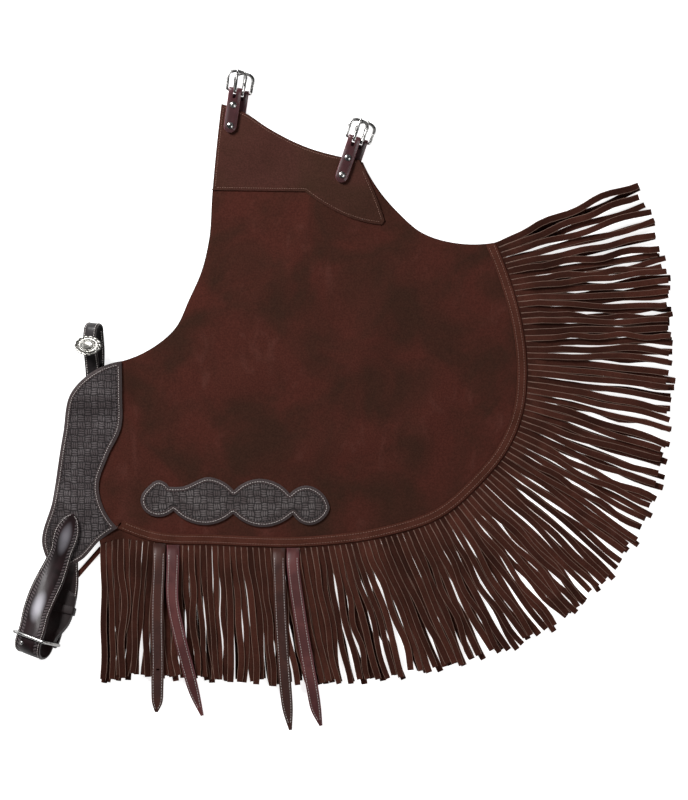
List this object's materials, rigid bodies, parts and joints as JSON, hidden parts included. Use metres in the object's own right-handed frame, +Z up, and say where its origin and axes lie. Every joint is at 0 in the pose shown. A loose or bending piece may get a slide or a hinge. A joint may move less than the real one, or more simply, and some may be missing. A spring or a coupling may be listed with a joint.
{
  "type": "leather chaps",
  "caption": "Pair of short fringed western leather chaps, folded in half and laid flat, with leg buckles, back belt and front strap.",
  "frame": {"origin": "centre of the bounding box in plan, on the surface that the folded pair lies on", "axes": "+X from the waist to the knee hem, +Y from the back edge to the inner edge with the leg buckles, +Z up from the surface"},
  "size_m": [0.839, 0.8391, 0.062],
  "materials": {
    "suede": "rough-out suede, matte nap",
    "facing_suede": "suede, finer matte nap",
    "stamped_leather": "basketweave-stamped, dyed, low sheen",
    "belt_leather": "smooth, stamped border, glossy",
    "strap_leather": "smooth, satin",
    "nickel": "polished nickel plate",
    "silver": "engraved silver"
  },
  "bodies": {
    "chaps": {"belt_billet_half": "belt_leather", "belt_buckle_frame": "nickel", "belt_buckle_half": "belt_leather", "belt_keeper": "belt_leather", "belt_rivet": "nickel", "front_strap_lower": "belt_leather", "front_strap_upper": "belt_leather", "left_chape_1": "strap_leather", "left_chape_2": "strap_leather", "left_fringe": "suede", "left_leg_panel": "suede", "left_leg_strap_1": "strap_leather", "left_leg_strap_2": "strap_leather", "left_yoke": "stamped_leather", "right_chape_1": "strap_leather", "right_chape_2": "strap_leather", "right_fringe": "suede", "right_hem_band": "suede", "right_leg_panel": "suede", "right_leg_strap_1": "strap_leather", "right_leg_strap_2": "strap_leather", "right_patch": "stamped_leather", "right_rivet_1a": "nickel", "right_rivet_1b": "nickel", "right_rivet_2a": "nickel", "right_rivet_2b": "nickel", "right_thigh_facing": "facing_suede", "right_yoke": "stamped_leather", "silver_buckle_bar": "silver", "silver_buckle_plate": "silver", "tie_thong": "suede"},
    "right_frame_1": {"right_buckle_frame_1": "nickel"},
    "right_tongue_1": {"right_buckle_tongue_1": "nickel"},
    "right_frame_2": {"right_buckle_frame_2": "nickel"},
    "right_tongue_2": {"right_buckle_tongue_2": "nickel"},
    "left_frame_1": {"left_buckle_frame_1": "nickel"},
    "left_tongue_1": {"left_buckle_tongue_1": "nickel"},
    "left_frame_2": {"left_buckle_frame_2": "nickel"},
    "left_tongue_2": {"left_buckle_tongue_2": "nickel"}
  },
  "joints": [
    {"name": "right_frame_1_turn", "type": "hinge", "parent": "chaps", "child": "right_frame_1", "pos_m": [-0.13975, 0.39162, 0.01365], "axis": [0.9903, -0.1392, 0], "range_deg": [0, 80]},
    {"name": "right_tongue_1_lift", "type": "hinge", "parent": "right_frame_1", "child": "right_tongue_1", "pos_m": [-0.13975, 0.39162, 0.01365], "axis": [0.9903, -0.1392, 0], "range_deg": [0, 55]},
    {"name": "right_frame_2_turn", "type": "hinge", "parent": "chaps", "child": "right_frame_2", "pos_m": [0.01135, 0.33042, 0.01365], "axis": [0.9466, -0.3223, 0], "range_deg": [0, 80]},
    {"name": "right_tongue_2_lift", "type": "hinge", "parent": "right_frame_2", "child": "right_tongue_2", "pos_m": [0.01135, 0.33042, 0.01365], "axis": [0.9466, -0.3223, 0], "range_deg": [0, 55]},
    {"name": "left_frame_1_turn", "type": "hinge", "parent": "chaps", "child": "left_frame_1", "pos_m": [-0.13075, 0.38862, 0.00445], "axis": [0.9903, -0.1392, 0], "range_deg": [0, 4]},
    {"name": "left_tongue_1_lift", "type": "hinge", "parent": "left_frame_1", "child": "left_tongue_1", "pos_m": [-0.13075, 0.38862, 0.00445], "axis": [0.9903, -0.1392, 0], "range_deg": [0, 3]},
    {"name": "left_frame_2_turn", "type": "hinge", "parent": "chaps", "child": "left_frame_2", "pos_m": [0.02035, 0.32742, 0.00445], "axis": [0.9466, -0.3223, 0], "range_deg": [0, 4]},
    {"name": "left_tongue_2_lift", "type": "hinge", "parent": "left_frame_2", "child": "left_tongue_2", "pos_m": [0.02035, 0.32742, 0.00445], "axis": [0.9466, -0.3223, 0], "range_deg": [0, 3]}
  ]
}
